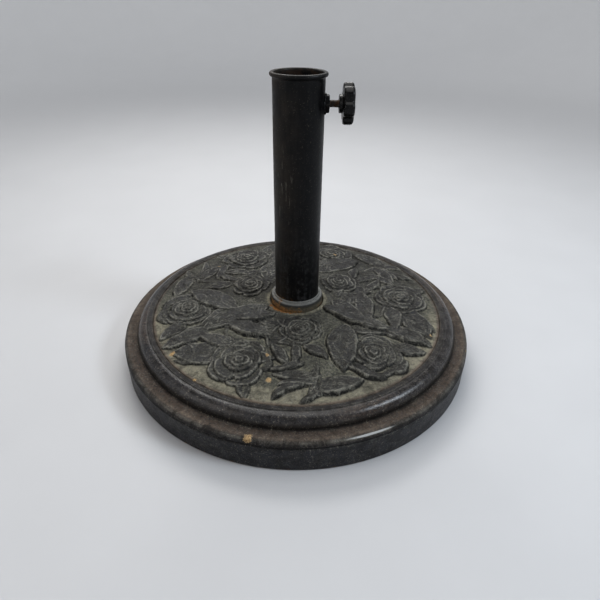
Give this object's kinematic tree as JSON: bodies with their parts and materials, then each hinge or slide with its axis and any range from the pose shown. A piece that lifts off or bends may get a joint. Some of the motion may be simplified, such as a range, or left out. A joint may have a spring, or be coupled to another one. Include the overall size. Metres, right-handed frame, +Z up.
{
  "type": "parasol base",
  "caption": "Round weighted parasol base with a relief of roses, an upright pole tube bolted in from below, and a side clamp screw with a lobed knob.",
  "frame": {"origin": "centre of the footprint on the ground, on the pole tube's axis", "axes": "+Z up along the pole tube; +X from the tube towards the clamp knob; +Y away from a viewer who sees the knob on the right"},
  "size_m": [0.458, 0.458, 0.346],
  "materials": {
    "casting": "matte",
    "tube_paint": "satin",
    "zinc_steel": "satin",
    "screw_steel": "matte",
    "knob_plastic": "satin",
    "tip_nylon": "satin",
    "pad_rubber": "matte"
  },
  "bodies": {
    "base": {"base_casting": "casting", "pole_tube": "tube_paint", "tube_foot_plate": "tube_paint", "tube_collar": "tube_paint", "foot_weld_nut": "zinc_steel", "mounting_washer": "zinc_steel", "spring_washer": "zinc_steel", "mounting_bolt": "zinc_steel", "clamp_weld_nut": "tube_paint", "rubber_pad_1": "pad_rubber", "rubber_pad_2": "pad_rubber", "rubber_pad_3": "pad_rubber", "rubber_pad_4": "pad_rubber", "rubber_pad_5": "pad_rubber", "rubber_pad_6": "pad_rubber"},
    "pressure_tip": {"screw_tip": "tip_nylon"},
    "clamp_knob": {"clamp_screw": "screw_steel", "knob_head": "knob_plastic", "knob_cap": "knob_plastic"}
  },
  "joints": [
    {"name": "screw_travel", "type": "slide", "parent": "base", "child": "pressure_tip", "axis": [-1, 0, 0], "range_m": [0, 0.0101]},
    {"name": "screw_turn", "type": "hinge", "parent": "pressure_tip", "child": "clamp_knob", "pos_m": [0.0435, 0, 0.3144], "axis": [-1, 0, 0], "range_deg": [0, 2880]}
  ],
  "couplings": [
    {"joint": "screw_travel", "follows": "screw_turn", "m_per_rad": 0.00019894}
  ]
}
